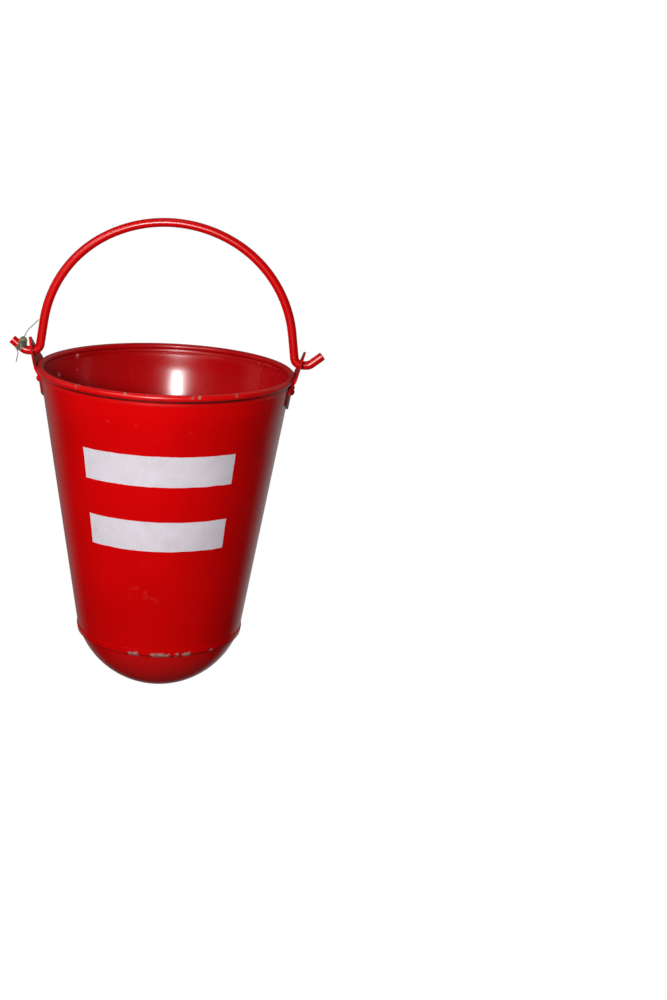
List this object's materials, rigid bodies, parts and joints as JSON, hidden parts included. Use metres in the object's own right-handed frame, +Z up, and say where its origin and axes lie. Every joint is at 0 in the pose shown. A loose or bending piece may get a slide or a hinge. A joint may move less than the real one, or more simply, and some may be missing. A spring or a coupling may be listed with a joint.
{
  "type": "fire bucket",
  "caption": "Round-bottomed tapered fire bucket of painted sheet steel with a wired rim, riveted ears and a swinging rod bail, hung by the bail and filled with water or sand.",
  "frame": {"origin": "the hang point: the underside of the top of the bail, where a hook or peg carries it", "axes": "+Z up, +X along the bail's hinge axis towards the ear beside the side seam, +Y to the back, where the side seam is"},
  "size_m": [0.3426, 0.28, 0.5269],
  "materials": {
    "red_paint": "glossy enamel, chipped on the seams",
    "wire_steel": "plain drawn wire",
    "twine": "rough natural fibre"
  },
  "bodies": {
    "bail": {"bail": "red_paint", "string_winding": "twine", "string_tail": "twine", "string_lead": "twine", "string_knot": "twine"},
    "bucket": {"body_shell": "red_paint", "rim_wire": "wire_steel", "dome_bottom": "red_paint", "ear_left": "red_paint", "ear_right": "red_paint", "rivet_left_front": "red_paint", "rivet_left_back": "red_paint", "rivet_right_front": "red_paint", "rivet_right_back": "red_paint"}
  },
  "joints": [
    {"name": "bail_hinge", "type": "hinge", "parent": "bail", "child": "bucket", "pos_m": [0, 0, -0.1414], "axis": [1, 0, 0], "range_deg": [-95, 95]}
  ]
}
